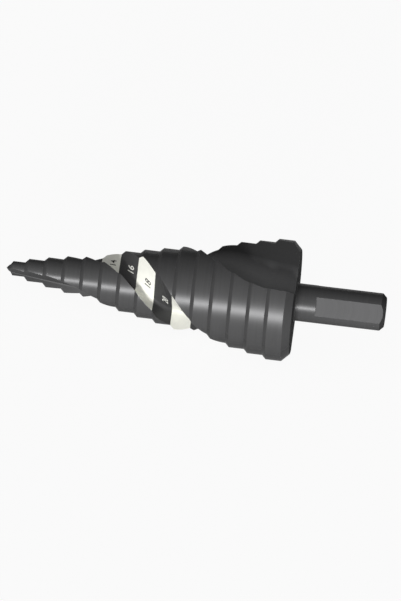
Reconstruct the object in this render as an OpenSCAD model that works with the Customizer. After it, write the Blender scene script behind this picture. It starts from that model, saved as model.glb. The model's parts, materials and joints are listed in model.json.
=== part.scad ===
// Step drill with helical flutes, ground from one bar of tool steel.
// It is modelled along its own axis, tip first, and then laid down as it comes to rest:
// on the rims of its larger steps, rolled over until the first flute bridges the surface.

/* [Steps] */
// Diameter of the first step
tip_d = 4; // [3:0.5:5]
// Growth in diameter from one step to the next
step_growth = 2; // [1.5:0.25:2.5]
// Length of a step with the ramp in front of it
step_len = 5; // [4:0.25:7]
// Number of steps
step_count = 15; // [14:1:17]
// Angle between the axis and the ramp in front of a step
ramp_angle = 45; // [35:5:60]
// Length from the tip to the end of the first step
first_len = 4.8; // [4:0.1:7]
// Length of the largest step behind its ramp
last_len = 4.1; // [3:0.1:8]
// Full angle of the point
point_angle = 100; // [90:2:135]
// Length of the bevel behind the largest step
rear_bevel = 2.05; // [0.5:0.05:3]

/* [Flutes] */
// Number of flutes
flute_count = 2; // [1:1:3]
// Turn of a flute between the tip and the back of the steps
flute_turn = 270; // [240:5:300]
// Distance from the axis to the root of a flute at the tip
web_tip = 0.7; // [0.4:0.05:1]
// Distance from the axis to the root of a flute at the back of the steps
web_back = 9.4; // [8:0.1:10.5]
// Distance from the axis to the plane of the cutting face
face_offset = 1; // [0.5:0.1:1.5]
// Angle between the cutting face and the heel face
flute_angle = 97; // [90:1:105]
// Radius of the root of a flute at the back of the steps
root_r = 2; // [1:0.1:3]

/* [Shank] */
// Diameter of the shank
shank_d = 10; // [8:0.5:13]
// Length of the round neck behind the steps
neck_len = 5.55; // [4:0.05:8]
// Length of the three flats
flat_len = 18.25; // [15:0.25:30]
// Width of a flat
flat_w = 5; // [3:0.1:7]
// Turn of the flats from the start of the first flute
flat_turn = 111; // [0:1:119]
// Bevel at the end of the shank
end_bevel = 1.1; // [0.5:0.1:2]

/* [Smoothness] */
// Longest slice of a flute along the axis
slice_len = 1; // [0.8:0.1:2]
// Facets round the root of a flute
root_facets = 4; // [2:1:6]
// Facets across the cutting face of a flute
face_facets = 3; // [2:1:5]
// Facets across the heel face of a flute
heel_facets = 6; // [3:1:8]

/* [Hidden] */
$fn = 96;

// Radii of the steps, and where each begins and ends along the axis
function step_r(k) = (tip_d + (k - 1) * step_growth) / 2;
ramp_len = step_growth / 2 / tan(ramp_angle);
point_len = tip_d / 2 / tan(point_angle / 2);
function step_end(k) = first_len + (k - 1) * step_len;
function step_front(k) = k == 1 ? point_len : step_end(k - 1) + ramp_len;
head_r = step_r(step_count);
bevel_start = step_front(step_count) + last_len;
head_len = bevel_start + rear_bevel;
flat_start = head_len + neck_len;
total_len = flat_start + flat_len;
shank_r = shank_d / 2;
// Flats for the jaws of a chuck, and how far they lie from the axis
flat_count = 3;
flat_depth = sqrt(shank_r * shank_r - flat_w * flat_w / 4);

// A flute turns slowly at both ends of the steps and fastest halfway
function flute_at(z) = let (t = z / head_len) flute_turn * (t - sin(360 * t) / (2 * PI));
function web_at(z) = web_tip + (web_back - web_tip) * z / head_len;
function root_r_at(z) = root_r * web_at(z) / web_back;
// The cutter for a flute reaches out past the steps and past both ends of them, and bulges on its far side
clear = 1.5;
bulge = 1.3;
cutter_start = web_tip / 2;
cutter_end = head_len + clear;
slices = ceil((cutter_end - cutter_start) / slice_len);
function reach_at(z) = clear + tip_d / 2 + step_growth / 2 * max(0, z - first_len + step_len) / step_len;

// Section of a flute: cutting face along +X at face_offset, heel face turned back from it by flute_angle
heel_dir = [cos(flute_angle), -sin(flute_angle)];
function meet(p, dir, r) = p + dir * (sqrt(pow(p * dir, 2) - p * p + r * r) - p * dir);
function root_arc(corner, r) =
    let (half = flute_angle / 2)
    let (centre = corner + r / sin(half) * [cos(half), -sin(half)])
    [for (i = [0:root_facets])
        let (a = 90 + (180 - flute_angle) * i / root_facets)
        centre + r * [cos(a), sin(a)]];
function between(p, q, s) = p + (q - p) * s;
function turned(p, a) = [p.x * cos(a) - p.y * sin(a), p.x * sin(a) + p.y * cos(a)];
function flute_section(z) =
    let (reach = reach_at(z))
    let (corner = [web_at(z), face_offset])
    let (face_end = meet(corner, [1, 0], reach))
    let (heel_end = meet(corner, heel_dir, reach))
    let (arc = root_arc(corner, root_r_at(z)))
    let (face_a = atan2(face_end.y, face_end.x))
    let (heel_a = atan2(heel_end.y, heel_end.x))
    let (outer_as = [for (i = [1, 2]) heel_a + (face_a - heel_a) * i / 3])
    concat(
        [for (i = [0:face_facets - 1]) between(face_end, arc[0], i / face_facets)],
        arc,
        [for (i = [1:heel_facets]) between(arc[root_facets], heel_end, i / heel_facets)],
        [for (a = outer_as) bulge * reach * [cos(a), sin(a)]]
    );

// Angles of a flute's two edges on a circle of radius r
function cut_edge(z, r) = flute_at(z) + asin(face_offset / r);
function heel_edge(z, r) =
    let (p = meet([web_at(z), face_offset], heel_dir, r))
    flute_at(z) + atan2(p.y, p.x);

// The surface that it rests on passes through two corners of the first flute, the cutting edge of one
// step and the heel of the largest, and touches the round rim of the step before the cutting edge
rim_step = step_count - 4;
cut_step = step_count - 3;
rim_z = step_front(rim_step);
rim_r = step_r(rim_step);
cut_z = step_front(cut_step);
cut_r = step_r(cut_step);
cut_a = cut_edge(cut_z, cut_r);
heel_z = step_front(step_count);
heel_a = heel_edge(heel_z, head_r);
cut_arm = cut_r * (rim_z - heel_z) * [cos(cut_a), sin(cut_a)];
heel_arm = head_r * (rim_z - cut_z) * [cos(heel_a), sin(heel_a)];
arm = cut_arm - heel_arm;
down_a = atan2(arm.y, arm.x) + acos(rim_r * (cut_z - heel_z) / norm(arm));
axis_tilt = atan((cut_r * cos(down_a - cut_a) - rim_r) / (cut_z - rim_z));
rest_h = cos(axis_tilt) * rim_r - sin(axis_tilt) * rim_z;
shadow_len = total_len * cos(axis_tilt) + (shank_r - end_bevel) * sin(axis_tilt);

// Outline of half the drill, from the tip to the end of the shank
function outline() = concat(
    [[0, 0]],
    [for (k = [1:step_count]) each [
        [step_r(k), step_front(k)],
        [step_r(k), k < step_count ? step_end(k) : bevel_start]
    ]],
    [[head_r - rear_bevel, head_len], [shank_r, head_len]],
    [[shank_r, total_len - end_bevel], [shank_r - end_bevel, total_len], [0, total_len]]
);

module blank() {
    rotate_extrude() polygon(outline());
}

module flute_cutter() {
    zs = [for (i = [0:slices]) cutter_start + (cutter_end - cutter_start) * i / slices];
    n = len(flute_section(cutter_start));
    points = [for (z = zs) for (p = flute_section(z)) let (q = turned(p, flute_at(z))) [q.x, q.y, z]];
    sides = [for (i = [0:slices - 1]) for (j = [0:n - 1])
        let (a = i * n + j)
        let (b = i * n + (j + 1) % n)
        each [[a, b + n, b], [a, a + n, b + n]]];
    first_end = [for (j = [0:n - 3]) [n - 1, j, j + 1]];
    last_end = [for (t = first_end) [t[0], t[2], t[1]] + slices * n * [1, 1, 1]];
    polyhedron(points, concat(sides, first_end, last_end));
}

module flats() {
    for (i = [0:flat_count - 1])
        rotate([0, 0, flat_turn + 360 / flat_count * i])
            translate([flat_depth, -shank_r, flat_start])
                cube([shank_r, shank_d, flat_len + clear]);
}

module step_drill() {
    color([0.25, 0.25, 0.26])
        translate([-shadow_len / 2, 0, rest_h])
            rotate([0, 90 - axis_tilt, 0])
                rotate([0, 0, -down_a])
                    difference() {
                        blank();
                        for (i = [0:flute_count - 1])
                            rotate([0, 0, 360 / flute_count * i]) flute_cutter();
                        flats();
                    }
}

step_drill();
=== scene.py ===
import json
from math import ceil, cos, pi, radians, sin, sqrt, tan

import bpy
from mathutils import Euler, Matrix, Vector


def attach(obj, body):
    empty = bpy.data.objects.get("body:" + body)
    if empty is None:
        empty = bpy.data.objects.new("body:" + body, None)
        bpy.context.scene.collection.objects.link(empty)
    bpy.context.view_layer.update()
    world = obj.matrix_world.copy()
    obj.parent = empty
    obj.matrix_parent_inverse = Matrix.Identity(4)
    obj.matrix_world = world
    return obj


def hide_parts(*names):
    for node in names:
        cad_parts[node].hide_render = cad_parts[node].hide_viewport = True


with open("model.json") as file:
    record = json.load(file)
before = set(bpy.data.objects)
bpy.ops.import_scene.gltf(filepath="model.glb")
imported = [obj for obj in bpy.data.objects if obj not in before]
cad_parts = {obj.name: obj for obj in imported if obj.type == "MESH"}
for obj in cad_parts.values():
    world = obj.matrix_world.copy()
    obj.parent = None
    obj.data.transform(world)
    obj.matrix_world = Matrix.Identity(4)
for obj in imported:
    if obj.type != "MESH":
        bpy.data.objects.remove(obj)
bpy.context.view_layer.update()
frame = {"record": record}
print("frame loaded")

mm = 0.001
smoothUpTo = radians(20)  # faces that meet at less than this are shaded as one


def deselect():
    if bpy.context.mode != "OBJECT":
        bpy.ops.object.mode_set(mode="OBJECT")
    bpy.ops.object.select_all(action="DESELECT")


def choose(piece):
    deselect()
    piece.select_set(True)
    bpy.context.view_layer.objects.active = piece


def turned(x, y, angle):
    return x * cos(angle) - y * sin(angle), x * sin(angle) + y * cos(angle)


# Lathe work: rim is how far a sharp corner is softened, and slant is the share of it that goes each way
blank = {
    "tipDiameter": 4, "growth": 2, "steps": 15, "stepLength": 5, "firstLength": 4.8, "lastLength": 4.1,
    "pointAngle": 100, "ramp": 1, "rearBevel": 2.05, "rim": 0.07, "slant": 0.7,
    "segments": 192, "ringSpacing": 0.9, "backRings": (12, 10, 7.5), "mergeWithin": 0.0005,
    "facesBack": 0.9, "bevelFacesBack": 0.6,
}
shank = {
    "radius": 5, "neck": 5.55, "corner": 0.25, "endBevel": 1.1,
    "flats": 3, "flatLength": 18.25, "pastEnd": 1, "flatWidth": 5, "flatTurn": 111,
}


def stepRadius(k):
    return (blank["tipDiameter"] + (k - 1) * blank["growth"]) / 2


def stepEnd(k):
    return blank["firstLength"] + (k - 1) * blank["stepLength"]


def stepFront(k):
    if k == 1:
        return stepRadius(1) / tan(radians(blank["pointAngle"] / 2))
    return stepEnd(k - 1) + blank["ramp"]


headRadius = stepRadius(blank["steps"])
bevelStart = stepFront(blank["steps"]) + blank["lastLength"]
headLength = bevelStart + blank["rearBevel"]
flatStart = headLength + shank["neck"]
totalLength = flatStart + shank["flatLength"]

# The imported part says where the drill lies: its shank's axis, its end and the way that one flat faces
mounts = {m["name"]: m for m in frame["record"]["mounts"]}
alongAxis = Vector(mounts["shank"]["axis"]).normalized()
flatNormal = Vector(mounts["drive_flat_1"]["axis"])
flatNormal = (flatNormal - alongAxis * flatNormal.dot(alongAxis)).normalized()
sideways = Matrix.Rotation(radians(-shank["flatTurn"]), 3, alongAxis) @ flatNormal
tipPlace = Vector(mounts["shank_end"]["pos_m"]) - alongAxis * totalLength * mm
laidTurn = Matrix((sideways, alongAxis.cross(sideways), alongAxis)).transposed()
laidDown = Matrix.Translation(tipPlace) @ laidTurn.to_4x4() @ Matrix.Scale(mm, 4)


def layDown(piece):
    # the place goes into the mesh, and the object stays at the origin
    piece.matrix_world = laidDown
    choose(piece)
    bpy.ops.object.transform_apply(location=True, rotation=True, scale=True)


# Flutes: the web is the core left between the two, and the leg points lie along both faces of the wheel
flute = {
    "turn": 270, "start": -0.6, "past": 1.5, "slice": 0.3,
    "webTip": 0.7, "webBack": 9.4, "faceOffset": 1, "angle": 97, "rootRadius": 2, "rootPoints": 10,
    "legPoints": (2.6, 3.6, 4.8, 6.2, 8, 10, 12.5, 15.5, 19, 24, 32, 44, 62),
}
heelWay = Vector((cos(radians(flute["angle"])), -sin(radians(flute["angle"]))))


def fluteTurn(z):  # slow at both ends of the head, fastest halfway
    t = z / headLength
    return radians(flute["turn"]) * (t - sin(2 * pi * t) / (2 * pi))


def web(z):
    return flute["webTip"] + (flute["webBack"] - flute["webTip"]) * z / headLength


# Nodes

def join(tree, value, socket):
    # a number is written on the socket, an output is joined to it
    if isinstance(value, bpy.types.NodeSocket):
        tree.links.new(value, socket)
    else:
        socket.default_value = value


def addNode(tree, kind, inputs=(), **settings):
    node = tree.nodes.new("ShaderNode" + kind)
    for name, value in settings.items():
        setattr(node, name, value)
    for name, value in dict(inputs).items():
        join(tree, value, node.inputs[name])
    return node


def calc(tree, operation, *values):
    node = addNode(tree, "Math", operation=operation)
    for value, socket in zip(values, node.inputs):
        join(tree, value, socket)
    return node.outputs[0]


def rescale(tree, value, fromLow, fromHigh, toLow, toHigh):
    node = addNode(tree, "MapRange", {"Value": value, "From Min": fromLow, "From Max": fromHigh,
                                      "To Min": toLow, "To Max": toHigh})
    return node.outputs["Result"]


def blendColours(tree, amount, first, second, way="MIX"):
    node = addNode(tree, "Mix", data_type="RGBA", blend_type=way)
    for value, socket in ((amount, node.inputs[0]), (first, node.inputs[6]), (second, node.inputs[7])):
        join(tree, value, socket)
    return node.outputs[2]


def shaded(colour, level):
    return [v * level for v in colour[:3]] + [1]


def aroundValue(value, spread):
    return value - spread, value + spread


def splitPlace(tree, place):
    return addNode(tree, "SeparateXYZ", {"Vector": place}).outputs


def fromAxis(tree, x, y):
    return calc(tree, "SQRT", calc(tree, "ADD", calc(tree, "MULTIPLY", x, x), calc(tree, "MULTIPLY", y, y)))


def noise(tree, place, scale, detail):
    return addNode(tree, "TexNoise", {"Vector": place, "Scale": scale, "Detail": detail}).outputs[0]


def addBump(tree, shader, height, strength, depth):
    bump = addNode(tree, "Bump", {"Strength": strength, "Distance": depth * mm, "Height": height})
    join(tree, bump.outputs[0], shader.inputs["Normal"])


def newGroup(name, number, outputs):
    # each pattern is given a place and one number, and hands back values only
    tree = bpy.data.node_groups.new(name, "ShaderNodeTree")
    for label, kind in (("Place", "Vector"), (number, "Float")):
        tree.interface.new_socket(label, in_out="INPUT", socket_type="NodeSocket" + kind)
    for label in outputs:
        tree.interface.new_socket(label, in_out="OUTPUT", socket_type="NodeSocketFloat")
    return tree, tree.nodes.new("NodeGroupInput").outputs, tree.nodes.new("NodeGroupOutput").inputs


def useGroup(tree, group, inputs):
    node = tree.nodes.new("ShaderNodeGroup")
    node.node_tree = group
    for name, value in inputs.items():
        join(tree, value, node.inputs[name])
    return node.outputs


# Cutting marks: how they stretch round the drill and along a flute, and what they give to the shade
cuttingMarks = {
    "around": 0.12, "alongFlute": 0.15, "wide": 0.16, "detail": 3, "wideDetail": 1,
    "fineShare": 0.6, "wideShare": 0.4,
}
# Worn edges: wear grows as the softened normal leaves the face's own, from flat to bent, in patches
wornEdges = {
    "samples": 6, "flat": 0.995, "bent": 0.9,
    "patches": 0.9, "patchDetail": 3, "patchLow": 0.35, "patchHigh": 0.65, "leastWorn": 0.3,
}


def turningMarkGroup():
    # rings left by the lathe and the wheel, seldom all the way round
    tree, given, result = newGroup("turningMarks", "Count", ["Shade", "Height"])
    x, y, z = splitPlace(tree, given["Place"])
    along = calc(tree, "MULTIPLY", calc(tree, "ADD", z, fromAxis(tree, x, y)), given["Count"])
    around = [calc(tree, "MULTIPLY", v, cuttingMarks["around"]) for v in (x, y)]
    rings = addNode(tree, "CombineXYZ", {"X": around[0], "Y": around[1], "Z": along}).outputs[0]
    fine = noise(tree, rings, 1, cuttingMarks["detail"])
    wide = noise(tree, rings, cuttingMarks["wide"], cuttingMarks["wideDetail"])
    fineShade = calc(tree, "MULTIPLY", fine, cuttingMarks["fineShare"])
    wideShade = calc(tree, "MULTIPLY", wide, cuttingMarks["wideShare"])
    join(tree, calc(tree, "ADD", fineShade, wideShade), result["Shade"])
    join(tree, fine, result["Height"])
    return tree


def grindMarkGroup():
    # scratches that run along a flute, laid out in the flute's own turned coordinates
    tree, given, result = newGroup("grindMarks", "Count", ["Shade", "Height"])
    x, y, z = splitPlace(tree, given["Place"])
    t = calc(tree, "DIVIDE", z, headLength)
    wave = calc(tree, "DIVIDE", calc(tree, "SINE", calc(tree, "MULTIPLY", t, 2 * pi)), 2 * pi)
    angle = calc(tree, "MULTIPLY", calc(tree, "SUBTRACT", t, wave), radians(flute["turn"]))
    c, s = calc(tree, "COSINE", angle), calc(tree, "SINE", angle)
    across = calc(tree, "ADD", calc(tree, "MULTIPLY", x, c), calc(tree, "MULTIPLY", y, s))
    deep = calc(tree, "SUBTRACT", calc(tree, "MULTIPLY", y, c), calc(tree, "MULTIPLY", x, s))
    lines = addNode(tree, "CombineXYZ", {
        "X": calc(tree, "MULTIPLY", across, given["Count"]),
        "Y": calc(tree, "MULTIPLY", deep, given["Count"]),
        "Z": calc(tree, "MULTIPLY", z, cuttingMarks["alongFlute"]),
    }).outputs[0]
    fine = noise(tree, lines, 1, cuttingMarks["detail"])
    join(tree, fine, result["Shade"])
    join(tree, fine, result["Height"])
    return tree


def wornEdgeGroup():
    # sharp edges lose their dark skin first, a little unevenly
    tree, given, result = newGroup("wornEdges", "Width", ["Worn"])
    softened = addNode(tree, "Bevel", {"Radius": given["Width"]}, samples=wornEdges["samples"]).outputs[0]
    sharp = addNode(tree, "NewGeometry").outputs["Normal"]
    same = addNode(tree, "VectorMath", operation="DOT_PRODUCT")
    join(tree, softened, same.inputs[0])
    join(tree, sharp, same.inputs[1])
    bent = rescale(tree, same.outputs["Value"], wornEdges["flat"], wornEdges["bent"], 0, 1)
    patches = noise(tree, given["Place"], wornEdges["patches"], wornEdges["patchDetail"])
    patchy = rescale(tree, patches, wornEdges["patchLow"], wornEdges["patchHigh"], wornEdges["leastWorn"], 1)
    join(tree, calc(tree, "MULTIPLY", bent, patchy), result["Worn"])
    return tree


groups = {"turned": turningMarkGroup(), "ground": grindMarkGroup(), "worn": wornEdgeGroup()}


def newMaterial(name):
    material = bpy.data.materials.new(name)
    material.use_nodes = True
    return material, material.node_tree, material.node_tree.nodes["Principled BSDF"]


def ownPlace(tree):
    # turns the object's coordinates into millimetres along the drill's own axis, from the tip
    back = laidTurn.transposed()
    mapping = addNode(tree, "Mapping", {
        "Vector": addNode(tree, "TexCoord").outputs["Object"],
        "Location": -(back @ tipPlace) / mm,
        "Rotation": back.to_euler(),
        "Scale": (1 / mm,) * 3,
    })
    return mapping.outputs[0]


# Dark skin of the hardened steel, and how each way of cutting leaves it
steel = {
    "metal": 0.36, "skinGloss": 0.02, "edge": (0.1, 0.1, 0.1, 1),
    "bright": (0.2, 0.2, 0.2, 1), "brightShare": 0.5, "edgeWidth": 0.12,
    "darkMark": 0.82, "lightMark": 1.18, "markDepth": 0.02,
    "darkest": 0.2, "lightest": 0.8, "roughSpread": 0.03,
    # painted light at the plain flute's root and painted shade at its rim: the distances from the axis where
    # each is full, and the stretch from the tip over which both are held back
    "rootRadius": 8.5, "shadedRimRadius": 11.5, "paintHeldBackUpTo": 18, "paintFullFrom": 45,
}
finishes = {
    "turnedSteel": {
        "colour": (0.079, 0.079, 0.08, 1), "roughness": 0.362, "marks": "turned", "count": 7, "bump": 0.1,
    },
    "groundSteel": {
        "colour": (0.075, 0.075, 0.076, 1), "roughness": 0.52, "marks": "ground", "count": 9, "bump": 0.05,
        "root": 2.1, "rim": 0.6, "tip": 0.52,  # painted light: lighter at the root, where the lamp's shadow falls; painted shade: darker at the rim; less of both near the tip
    },
    "fieldSteel": {
        "colour": (0.072, 0.072, 0.073, 1), "roughness": 0.42, "marks": "ground", "count": 9, "bump": 0.04,
    },
    "milledSteel": {
        "colour": (0.07, 0.07, 0.071, 1), "roughness": 0.38, "marks": "turned", "count": 3, "bump": 0.04,
    },
    # painted shade: a darker colour for the faces that look back along the axis, with a rougher finish
    "shadedRearSteel": {
        "colour": (0.05, 0.05, 0.051, 1), "roughness": 0.8, "marks": "turned", "count": 5, "bump": 0.05,
    },
}


def rootTone(tree, place, finish):
    # painted light and shade: a level set by the distance from the axis, lighter at the flute's root and
    # darker at its rim, held back towards the tip
    x, y, z = splitPlace(tree, place)
    radius = fromAxis(tree, x, y)
    paintedLevel = rescale(tree, radius, steel["rootRadius"], steel["shadedRimRadius"], finish["root"], finish["rim"])
    paintHeldBack = rescale(tree, z, steel["paintHeldBackUpTo"], steel["paintFullFrom"], finish["tip"], 1)
    return calc(tree, "MULTIPLY", paintedLevel, paintHeldBack)


def steelMaterial(name):
    finish = finishes[name]
    material, tree, shader = newMaterial(name)
    place = ownPlace(tree)
    marks = useGroup(tree, groups[finish["marks"]], {"Place": place, "Count": finish["count"]})
    worn = useGroup(tree, groups["worn"], {"Place": place, "Width": steel["edgeWidth"] * mm})["Worn"]
    dark, light = (shaded(finish["colour"], steel[level]) for level in ("darkMark", "lightMark"))
    colour = blendColours(tree, marks["Shade"], dark, light)
    # painted light and shade: the plain flute's colour is lightened at its root and darkened at its rim
    if "root" in finish:
        colour = blendColours(tree, 1, colour, rootTone(tree, place, finish), "MULTIPLY")
    colour = blendColours(tree, calc(tree, "MULTIPLY", worn, steel["brightShare"]), colour, steel["bright"])
    rough = aroundValue(finish["roughness"], steel["roughSpread"])
    roughness = rescale(tree, marks["Shade"], steel["darkest"], steel["lightest"], *rough)
    shader.inputs["Specular Tint"].default_value = steel["edge"]
    shader.inputs["Specular IOR Level"].default_value = steel["skinGloss"]
    shader.inputs["Metallic"].default_value = steel["metal"]
    join(tree, colour, shader.inputs["Base Color"])
    join(tree, roughness, shader.inputs["Roughness"])
    addBump(tree, shader, marks["Height"], finish["bump"], steel["markDepth"])
    return material


materials = {name: steelMaterial(name) for name in finishes}
print("finishes made", len(materials))


# Body of the drill

def drawLine(name, points):
    # a plane merged to one point, then drawn on point by point
    deselect()
    bpy.ops.mesh.primitive_plane_add(size=0.1, location=points[0])
    piece = bpy.context.object
    piece.name = name
    bpy.ops.object.transform_apply(location=True, rotation=True, scale=True)
    bpy.ops.object.mode_set(mode="EDIT")
    bpy.ops.mesh.select_all(action="SELECT")
    bpy.ops.mesh.merge(type="CENTER")
    for before, after in zip(points, points[1:]):
        step = Vector(after) - Vector(before)
        bpy.ops.mesh.extrude_region_move(TRANSFORM_OT_translate={"value": step})
    return piece


def applyAll(piece):
    choose(piece)
    for modifier in list(piece.modifiers):
        bpy.ops.object.modifier_apply(modifier=modifier.name)


def ringsBetween(start, end):
    # extra rings along a land keep its shading even beside the flutes
    count = max(1, ceil((end - start) / blank["ringSpacing"]))
    return [start + (end - start) * i / count for i in range(1, count)]


def softBevel(radius, depth, start, end):
    rim = blank["rim"]
    slant = rim * blank["slant"]
    inner = radius - depth
    return [
        (radius, start - rim), (radius - slant, start + slant),
        (inner + slant, end - slant), (inner - rim, end),
    ]


def blankOutline():
    rim = blank["rim"]
    points = [(0, 0)]
    for k in range(1, blank["steps"] + 1):
        r, front = stepRadius(k), stepFront(k)
        end = bevelStart if k == blank["steps"] else stepEnd(k)
        slope = Vector((r, front)) if k == 1 else Vector((1, 1))
        slope = slope.normalized() * rim
        points += [(r - slope.x, front - slope.y), (r, front + rim)]
        points += [(r, z) for z in ringsBetween(front + rim, end)]
        if k < blank["steps"]:
            points.append((r, end))
    points += softBevel(headRadius, blank["rearBevel"], bevelStart, headLength)
    points += [(r, headLength) for r in blank["backRings"]]
    r, neckStart = shank["radius"], headLength + shank["corner"]
    shankEnd = totalLength - shank["endBevel"]
    points += [(r + shank["corner"], headLength), (r, neckStart)]
    points += [(r, z) for z in ringsBetween(neckStart, shankEnd)]
    points += softBevel(r, shank["endBevel"], shankEnd, totalLength)
    points.append((0, totalLength))
    return [(r, 0, z) for r, z in points]


def turnBlank():
    piece = drawLine("drillBody", blankOutline())
    bpy.ops.mesh.select_all(action="SELECT")
    bpy.ops.mesh.spin(steps=blank["segments"], angle=2 * pi, center=(0, 0, 0), axis=(0, 0, 1))
    bpy.ops.mesh.select_all(action="SELECT")
    bpy.ops.mesh.remove_doubles(threshold=blank["mergeWithin"])
    bpy.ops.mesh.normals_make_consistent(inside=False)
    bpy.ops.object.mode_set(mode="OBJECT")
    piece.data.materials.append(materials["turnedSteel"])
    piece.data.materials.append(materials["shadedRearSteel"])
    for face in piece.data.polygons:  # the back of the head, and the end of the shank with its bevel, which look back along the axis: darker as painted shade, and rougher
        endBevel = face.normal.z > blank["bevelFacesBack"] and face.center.z > flatStart
        if face.normal.z > blank["facesBack"] or endBevel:
            face.material_index = 1
    return piece


def fluteSection():
    # a wedge about its corner at the back of the head: cutting face along X, rounded root, heel face
    half = radians(flute["angle"] / 2)
    r = flute["rootRadius"]
    centre = Vector((cos(half), -sin(half))) * r / sin(half)
    points = [Vector((d, 0)) for d in reversed(flute["legPoints"])]
    for i in range(flute["rootPoints"] + 1):
        a = pi / 2 + (pi - 2 * half) * i / flute["rootPoints"]
        points.append(centre + Vector((cos(a), sin(a))) * r)
    return points + [heelWay * d for d in flute["legPoints"]]


def grindWheel(name, startTurn, material):
    # the wedge is drawn out slice by slice, and turned and widened as it goes
    z = flute["start"]
    size = web(z) / flute["webBack"]
    angle = fluteTurn(z) + startTurn
    points = []
    for p in fluteSection():
        x, y = turned(web(z) + p.x * size, flute["faceOffset"] + p.y * size, angle)
        points.append((x, y, z))
    piece = drawLine(name, points)
    bpy.ops.mesh.select_all(action="SELECT")
    bpy.ops.mesh.edge_face_add()
    length = headLength + flute["past"] - z
    slices = ceil(length / flute["slice"])
    for i in range(slices):
        after = z + length / slices
        corner = Vector((*turned(web(z), flute["faceOffset"], angle), after))
        shift = Vector((*turned(web(after) - web(z), 0, angle), 0))
        grow = web(after) / web(z)
        turn = fluteTurn(after) - fluteTurn(z)
        bpy.ops.mesh.extrude_region_move(TRANSFORM_OT_translate={"value": (0, 0, after - z)})
        bpy.ops.transform.resize(value=(grow, grow, 1), center_override=corner)
        bpy.ops.transform.translate(value=shift)
        bpy.ops.transform.rotate(value=-turn, orient_axis="Z", center_override=(0, 0, after))
        z = after
        angle += turn
    bpy.ops.mesh.select_all(action="SELECT")
    bpy.ops.mesh.normals_make_consistent(inside=False)
    bpy.ops.object.mode_set(mode="OBJECT")
    piece.data.materials.append(material)
    return piece


def flatTool(turn):
    reach = shank["radius"]
    depth = sqrt(reach ** 2 - shank["flatWidth"] ** 2 / 4)
    long = shank["flatLength"] + shank["pastEnd"]
    deselect()
    bpy.ops.mesh.primitive_cube_add(size=1)
    piece = bpy.context.object
    piece.scale = (reach, 2 * reach, long)
    piece.rotation_euler = (0, 0, turn)
    x, y = turned(depth + reach / 2, 0, turn)
    piece.location = (x, y, flatStart + long / 2)
    bpy.ops.object.transform_apply(location=True, rotation=True, scale=True)
    piece.data.materials.append(materials["milledSteel"])
    return piece


def cutAway(piece, tool):
    cut = piece.modifiers.new("cut", "BOOLEAN")
    cut.operation = "DIFFERENCE"
    cut.solver = "EXACT"
    cut.material_mode = "TRANSFER"
    cut.object = tool
    applyAll(piece)
    bpy.data.objects.remove(tool)


body = turnBlank()
print("blank turned", len(body.data.polygons))
cutAway(body, grindWheel("numberedFlute", 0, materials["fieldSteel"]))
cutAway(body, grindWheel("plainFlute", pi, materials["groundSteel"]))
print("flutes ground", len(body.data.polygons))
for i in range(shank["flats"]):
    cutAway(body, flatTool(radians(shank["flatTurn"] + 360 / shank["flats"] * i)))
print("flats milled", len(body.data.polygons))

# Size fields: from the fourth step on, every other step of the numbered flute carries a thin white coat
fields = {
    "first": 4, "coat": 0.012, "white": (0.86, 0.86, 0.79, 1), "shade": 0.95, "clouds": 0.6, "cloudDetail": 4,
    "roughness": 0.42, "roughSpread": 0.06, "grain": 3, "grainDetail": 3, "noiseLow": 0.3, "noiseHigh": 0.7,
    "waves": 0.08, "waveDepth": 0.01, "gloss": 0.2,
}
numberedSteps = range(fields["first"], blank["steps"] + 1)
whiteSteps, bareSteps = numberedSteps[::2], numberedSteps[1::2]


def paintMaterial():
    material, tree, shader = newMaterial("whitePaint")
    place = ownPlace(tree)
    low, high = fields["noiseLow"], fields["noiseHigh"]
    clouds = rescale(tree, noise(tree, place, fields["clouds"], fields["cloudDetail"]), low, high, 0, 1)
    thin = shaded(fields["white"], fields["shade"])
    join(tree, blendColours(tree, clouds, thin, fields["white"]), shader.inputs["Base Color"])
    grain = noise(tree, place, fields["grain"], fields["grainDetail"])
    rough = aroundValue(fields["roughness"], fields["roughSpread"])
    join(tree, rescale(tree, grain, low, high, *rough), shader.inputs["Roughness"])
    marks = useGroup(tree, groups["ground"], {"Place": place, "Count": finishes["fieldSteel"]["count"]})
    addBump(tree, shader, marks["Height"], fields["waves"], fields["waveDepth"])
    shader.inputs["Specular IOR Level"].default_value = fields["gloss"]
    return material


def dropFaces(piece, unwanted):
    choose(piece)
    for face in piece.data.polygons:
        face.select = unwanted(face)
    bpy.ops.object.mode_set(mode="EDIT")
    bpy.ops.mesh.delete(type="FACE")
    bpy.ops.object.mode_set(mode="OBJECT")


def paintFields():
    choose(body)
    bpy.ops.object.duplicate()
    piece = bpy.context.object
    piece.name = "sizeFields"
    numbered = list(piece.data.materials).index(materials["fieldSteel"])
    bpy.ops.object.mode_set(mode="EDIT")
    bpy.ops.mesh.select_mode(type="FACE")
    bpy.ops.mesh.select_all(action="DESELECT")
    bpy.ops.object.mode_set(mode="OBJECT")
    dropFaces(piece, lambda face: face.material_index != numbered)
    bpy.ops.object.mode_set(mode="EDIT")
    for k in range(fields["first"] - 1, blank["steps"]):
        bpy.ops.mesh.select_all(action="SELECT")
        bpy.ops.mesh.bisect(plane_co=(0, 0, stepEnd(k)), plane_no=(0, 0, 1))
    bpy.ops.mesh.select_all(action="DESELECT")
    bpy.ops.object.mode_set(mode="OBJECT")
    painted = [(stepEnd(k - 1), stepEnd(k)) for k in whiteSteps]
    dropFaces(piece, lambda face: not any(low < face.center.z < high for low, high in painted))
    coat = piece.modifiers.new("coat", "SOLIDIFY")
    coat.thickness = fields["coat"]
    coat.offset = 1
    applyAll(piece)
    piece.data.materials.clear()
    piece.data.materials.append(paintMaterial())
    layDown(piece)
    bpy.ops.object.shade_smooth_by_angle(angle=smoothUpTo)
    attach(piece, "root")
    return piece


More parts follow.
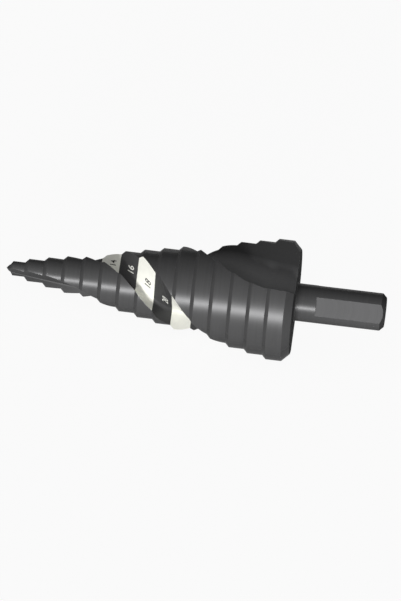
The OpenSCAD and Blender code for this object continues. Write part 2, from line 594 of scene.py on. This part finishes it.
# Size numbers, printed on the heel face of the first flute and read outwards from its root. Across is how far
# from the root they stand, and drift brings them nearer to it on each larger step.
numbers = {
    "height": 1.65, "capShare": 0.7, "thicken": 0.02, "fromEnd": 1.8,
    "across": 6.1, "drift": 0.3, "leastAcross": 3, "heelShare": 0.6,
    "grid": 0.3, "lift": 0.03, "ink": 0.035,
    "dark": (0.03, 0.03, 0.03, 1), "light": (0.75, 0.75, 0.7, 1), "roughness": 0.5, "roughSpread": 0.05,
    "blots": 5, "blotDetail": 3, "blotLow": 0.35, "blotHigh": 0.7, "thin": 0.85, "thick": 1.15,
}


def inkMaterial(name, colour):
    material, tree, shader = newMaterial(name)
    blots = noise(tree, ownPlace(tree), numbers["blots"], numbers["blotDetail"])
    thin, thick = numbers["thin"], numbers["thick"]
    cover = rescale(tree, blots, numbers["blotLow"], numbers["blotHigh"], thin, thick)
    join(tree, blendColours(tree, 1, colour, cover, "MULTIPLY"), shader.inputs["Base Color"])
    rough = aroundValue(numbers["roughness"], numbers["roughSpread"])
    join(tree, rescale(tree, cover, thin, thick, *rough), shader.inputs["Roughness"])
    return material


def gridCut(piece, spacing):
    # crossing cuts let the flat numbers follow the twist of the flute
    choose(piece)
    low = [min(v.co[axis] for v in piece.data.vertices) for axis in (0, 1)]
    high = [max(v.co[axis] for v in piece.data.vertices) for axis in (0, 1)]
    bpy.ops.object.mode_set(mode="EDIT")
    for axis, way in ((0, (1, 0, 0)), (1, (0, 1, 0))):
        for i in range(1, ceil((high[axis] - low[axis]) / spacing)):
            bpy.ops.mesh.select_all(action="SELECT")
            bpy.ops.mesh.bisect(plane_co=Vector(way) * (low[axis] + i * spacing), plane_no=way)
    bpy.ops.object.mode_set(mode="OBJECT")


def flatNumber(text):
    deselect()
    bpy.ops.object.text_add()
    label = bpy.context.object
    label.name = "number" + text
    label.data.body = text
    label.data.size = numbers["height"] / numbers["capShare"]
    label.data.offset = numbers["thicken"]
    label.data.align_x = "CENTER"
    label.data.align_y = "CENTER"
    bpy.ops.object.convert(target="MESH")
    return bpy.context.object


def printNumber(k):
    z = stepEnd(k) - numbers["fromEnd"]
    heelLength = sqrt(stepRadius(k) ** 2 - web(z) ** 2) + flute["faceOffset"]
    across = max(numbers["across"] - numbers["drift"] * k, numbers["leastAcross"])
    across = min(across, heelLength * numbers["heelShare"])
    label = flatNumber(str(round(2 * stepRadius(k))))
    gridCut(label, numbers["grid"])
    spot = Vector((web(z), flute["faceOffset"])) + heelWay * across
    out = Vector((*turned(heelWay.x, heelWay.y, fluteTurn(z)), 0))
    towardsTip = Vector((0, 0, -1))
    axes = Matrix((out, towardsTip, out.cross(towardsTip))).transposed()
    centre = Vector((*turned(spot.x, spot.y, fluteTurn(z)), z))
    label.matrix_world = Matrix.Translation(centre) @ axes.to_4x4()
    choose(label)
    bpy.ops.object.transform_apply(location=True, rotation=True, scale=True)
    # twisted about the drill's axis as the flute is, then laid on its face
    bpy.context.scene.cursor.location = (0, 0, z)
    bpy.ops.object.origin_set(type="ORIGIN_CURSOR")
    half = label.dimensions.z / 2
    twist = label.modifiers.new("twist", "SIMPLE_DEFORM")
    twist.deform_method = "TWIST"
    twist.deform_axis = "Z"
    twist.angle = fluteTurn(z + half) - fluteTurn(z - half)
    wrap = label.modifiers.new("wrap", "SHRINKWRAP")
    wrap.target = body
    wrap.wrap_mode = "ABOVE_SURFACE"
    wrap.offset = numbers["lift"]
    ink = label.modifiers.new("ink", "SOLIDIFY")
    ink.thickness = numbers["ink"]
    applyAll(label)
    bpy.ops.object.transform_apply(location=True, rotation=True, scale=True)
    bpy.context.scene.cursor.location = (0, 0, 0)
    return label


def printNumbers(name, steps, material):
    labels = [printNumber(k) for k in steps]
    choose(labels[0])
    for label in labels:
        label.select_set(True)
    bpy.ops.object.join()
    piece = bpy.context.object
    piece.name = name
    piece.data.materials.clear()
    piece.data.materials.append(material)
    layDown(piece)
    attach(piece, "root")
    return piece


sizeFields = paintFields()
print("size fields painted", len(sizeFields.data.polygons))
onWhite = printNumbers("darkNumbers", whiteSteps, inkMaterial("darkInk", numbers["dark"]))
onSteel = printNumbers("lightNumbers", bareSteps, inkMaterial("lightInk", numbers["light"]))
print("size numbers printed", len(onWhite.data.polygons) + len(onSteel.data.polygons))

layDown(body)
bpy.ops.object.shade_smooth_by_angle(angle=smoothUpTo)
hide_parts("step_drill")
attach(body, "root")

# Studio, with places and sizes in metres
view = {
    "azimuth": 1.467, "elevation": 37.144, "roll": 13.414, "distance": 3.1644, "near": 0.1, "far": 20,
    "aim": (0.0015463, -0.0020639, 0.0103286), "lens": 718.8, "sensor": 36,
}
floorPaper = {"size": 6, "colour": (0.9, 0.9, 0.9, 1), "roughness": 0.9, "gloss": 0.1, "glow": 0.93}
air = {
    "front": 0.85, "frontUpTo": -0.85, "back": 0.17, "backFrom": 0,
    "horizon": 0.5, "horizonUpTo": 0.03, "skyFrom": 0.3,
}
lampAim = Vector((0, 0, 0.01))
lamps = {
    "lowFront": {"width": 0.4, "height": 0.23, "place": (-0.12, -2.0, 0.125), "power": 35.3},
    "lowBack": {"width": 0.8, "height": 0.3, "place": (0.2, 2.0, 0.16), "power": 7},
}


def placeCamera():
    camera = bpy.data.cameras.new("camera")
    camera.lens = view["lens"]
    camera.sensor_width = view["sensor"]
    camera.clip_start = view["near"]
    camera.clip_end = view["far"]
    holder = bpy.data.objects.new("camera", camera)
    bpy.context.scene.collection.objects.link(holder)
    turn = Euler((radians(90 - view["elevation"]), 0, radians(-view["azimuth"]))).to_matrix()
    turn = turn @ Matrix.Rotation(radians(view["roll"]), 3, "Z")
    place = Vector(view["aim"]) + turn @ Vector((0, 0, view["distance"]))
    holder.matrix_world = Matrix.Translation(place) @ turn.to_4x4()
    bpy.context.scene.camera = holder


def layFloor():
    deselect()
    bpy.ops.mesh.primitive_plane_add(size=floorPaper["size"], location=(0, 0, 0))
    floor = bpy.context.object
    floor.name = "floor"
    material, tree, shader = newMaterial("whitePaper")
    shader.inputs["Base Color"].default_value = floorPaper["colour"]
    shader.inputs["Roughness"].default_value = floorPaper["roughness"]
    shader.inputs["Specular IOR Level"].default_value = floorPaper["gloss"]
    # the camera and the steel see it nearly white, and it still shows a shadow
    rays = addNode(tree, "LightPath").outputs
    bounced = calc(tree, "MAXIMUM", rays["Is Glossy Ray"], rays["Is Transmission Ray"])
    seen = calc(tree, "MAXIMUM", rays["Is Camera Ray"], bounced)
    white = addNode(tree, "Emission", {"Strength": 1.0})
    mix = addNode(tree, "MixShader")
    join(tree, calc(tree, "MULTIPLY", seen, floorPaper["glow"]), mix.inputs[0])
    join(tree, shader.outputs[0], mix.inputs[1])
    join(tree, white.outputs[0], mix.inputs[2])
    join(tree, mix.outputs[0], tree.nodes["Material Output"].inputs["Surface"])
    floor.data.materials.append(material)


def fillAir():
    # one grey along the horizon, and above it brighter in front of the drill than behind it
    world = bpy.data.worlds.new("studio")
    world.use_nodes = True
    tree = world.node_tree
    way = splitPlace(tree, addNode(tree, "TexCoord").outputs["Generated"])
    above = rescale(tree, way["Y"], air["frontUpTo"], air["backFrom"], air["front"], air["back"])
    low = rescale(tree, way["Z"], air["horizonUpTo"], air["skyFrom"], 1, 0)
    level = addNode(tree, "Mix", {"Factor": low, "A": above, "B": air["horizon"]}).outputs[0]
    join(tree, level, tree.nodes["Background"].inputs["Color"])
    bpy.context.scene.world = world


def hangLamps():
    for name, lamp in lamps.items():
        light = bpy.data.lights.new(name, "AREA")
        light.shape = "RECTANGLE"
        light.size = lamp["width"]
        light.size_y = lamp["height"]
        light.energy = lamp["power"]
        holder = bpy.data.objects.new(name, light)
        bpy.context.scene.collection.objects.link(holder)
        place = Vector(lamp["place"])
        holder.location = place
        holder.rotation_euler = (lampAim - place).to_track_quat("-Z", "Y").to_euler()


placeCamera()
layFloor()
fillAir()
hangLamps()
bpy.context.scene.view_settings.view_transform = "Standard"
print("studio set")
